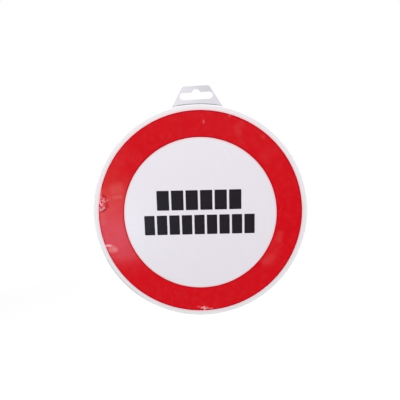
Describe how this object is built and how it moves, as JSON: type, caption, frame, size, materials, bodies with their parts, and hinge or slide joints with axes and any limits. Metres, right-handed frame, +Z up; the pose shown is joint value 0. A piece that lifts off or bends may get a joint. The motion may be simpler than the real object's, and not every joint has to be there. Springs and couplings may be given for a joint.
{
  "type": "no hunting sign",
  "caption": "Round rigid plastic prohibition sign: red ring on white, rows of plain dark blocks for its message, and a clear slotted hang tab stuck behind the top.",
  "frame": {"origin": "centre of the round plate, at half its thickness", "axes": "the face looks towards -Y, +Y points to the wall behind the sign, +Z is up towards the hang tab"},
  "size_m": [0.21, 0.0027, 0.2273],
  "materials": {
    "white_plate": "smooth rigid sheet, satin gloss, very slightly lavender white",
    "red_film": "glossy signal red film with a few small puckers and scuffs at its outer edge",
    "black_film": "satin near-black print",
    "clear_tab": "clear flexible sheet, die cut, glossy with a faint grey tint",
    "adhesive": "milky double-sided adhesive transfer film"
  },
  "bodies": {
    "root": {"sign_plate": "white_plate", "red_band": "red_film", "upper_blocks": "black_film", "lower_blocks": "black_film", "hang_tab": "clear_tab", "tab_adhesive": "adhesive"}
  },
  "joints": []
}
